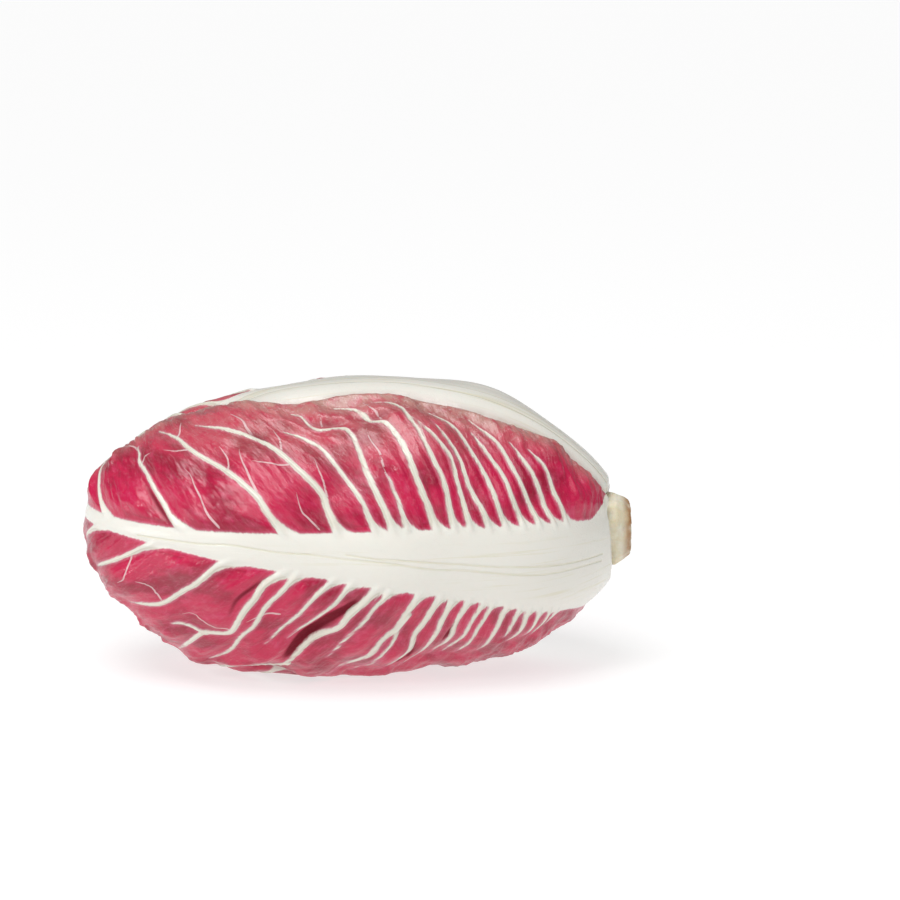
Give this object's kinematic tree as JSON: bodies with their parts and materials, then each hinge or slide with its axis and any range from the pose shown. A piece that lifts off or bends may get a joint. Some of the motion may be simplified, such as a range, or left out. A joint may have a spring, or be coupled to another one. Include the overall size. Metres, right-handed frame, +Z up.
{
  "type": "radicchio head",
  "caption": "Long oval head of red leaf chicory lying on its side, with crimson leaves on broad white ribs wrapped over each other round a short cut stem.",
  "frame": {"origin": "on the surface the head lies on, under the middle of its bounding box", "axes": "+X from the closed leaf tips to the cut stem, +Z up; the first outer leaf faces -Y"},
  "size_m": [0.1814, 0.1004, 0.0975],
  "materials": {
    "outer_leaf": "satin",
    "inner_leaf": "satin",
    "heart": "satin",
    "stem": "matte"
  },
  "bodies": {
    "root": {"outer_leaf_1": "outer_leaf", "outer_leaf_2": "outer_leaf", "outer_leaf_3": "outer_leaf", "wrapper_leaf_4": "inner_leaf", "wrapper_leaf_5": "inner_leaf", "wrapper_leaf_6": "inner_leaf", "inner_leaf_7": "inner_leaf", "inner_leaf_8": "inner_leaf", "inner_leaf_9": "inner_leaf", "young_leaf_10": "inner_leaf", "young_leaf_11": "inner_leaf", "young_leaf_12": "inner_leaf", "heart_bud": "heart", "stem": "stem"}
  },
  "joints": []
}
